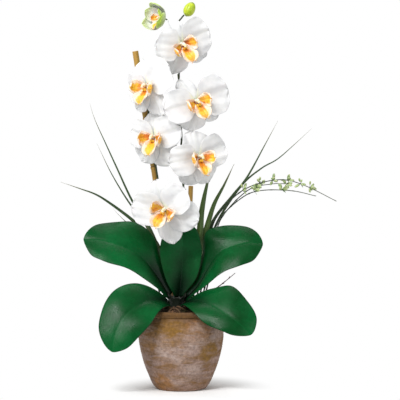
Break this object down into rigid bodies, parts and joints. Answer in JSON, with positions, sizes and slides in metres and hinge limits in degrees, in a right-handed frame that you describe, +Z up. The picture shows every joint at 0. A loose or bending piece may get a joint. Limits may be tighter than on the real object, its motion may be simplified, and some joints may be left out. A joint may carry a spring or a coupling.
{
  "type": "potted orchid",
  "caption": "White moth orchid with flower spikes on canes, broad strap leaves and grass, growing in a weathered clay pot",
  "frame": {"origin": "centre of the flat underside of the pot", "axes": "+Z up from the base to the buds, -Y the side that the flowers face, +X to the right seen from that side"},
  "size_m": [0.4774, 0.1771, 0.6672],
  "materials": {
    "weathered_clay": "matte, streaked with lime and ochre",
    "bark_mix": "rough, dark",
    "crown_green": "waxy",
    "leaf_green": "glossy deep green",
    "grass_green": "satin",
    "sprig_green": "matte pale green",
    "bamboo": "satin ochre cane",
    "spike_green": "satin, nearly black green",
    "petal_white": "matte white, slightly translucent",
    "lip_orange": "waxy yellow and orange with brown marks",
    "bud_green": "waxy lime green",
    "root_brown": "dry and rough",
    "twig_maroon": "thin dark bark"
  },
  "bodies": {
    "root": {"pot": "weathered_clay", "growing_medium": "bark_mix", "crown": "crown_green", "leaf_upper_left": "leaf_green", "leaf_upper_right": "leaf_green", "leaf_centre": "leaf_green", "leaf_lower_left": "leaf_green", "leaf_lower_right": "leaf_green", "grass_left_1": "grass_green", "grass_left_2": "grass_green", "grass_left_3": "grass_green", "grass_left_4": "grass_green", "grass_left_5": "grass_green", "grass_right_1": "grass_green", "grass_right_2": "grass_green", "grass_right_3": "grass_green", "grass_right_4": "grass_green", "sprig_front": "sprig_green", "sprig_middle": "sprig_green", "sprig_back": "sprig_green", "stake_left": "bamboo", "stake_right": "bamboo", "spike_left": "spike_green", "spike_right": "spike_green", "sepals_a": "petal_white", "petals_a": "petal_white", "lip_a": "lip_orange", "sepals_b": "petal_white", "petals_b": "petal_white", "lip_b": "lip_orange", "sepals_c": "petal_white", "petals_c": "petal_white", "lip_c": "lip_orange", "sepals_d": "petal_white", "petals_d": "petal_white", "lip_d": "lip_orange", "sepals_e": "petal_white", "petals_e": "petal_white", "lip_e": "lip_orange", "sepals_f": "petal_white", "petals_f": "petal_white", "lip_f": "lip_orange", "sepals_half_open": "petal_white", "petals_half_open": "petal_white", "lip_half_open": "lip_orange", "bud": "bud_green", "root_left": "root_brown", "root_right": "root_brown", "twig": "twig_maroon", "bark_chip": "root_brown"}
  },
  "joints": []
}
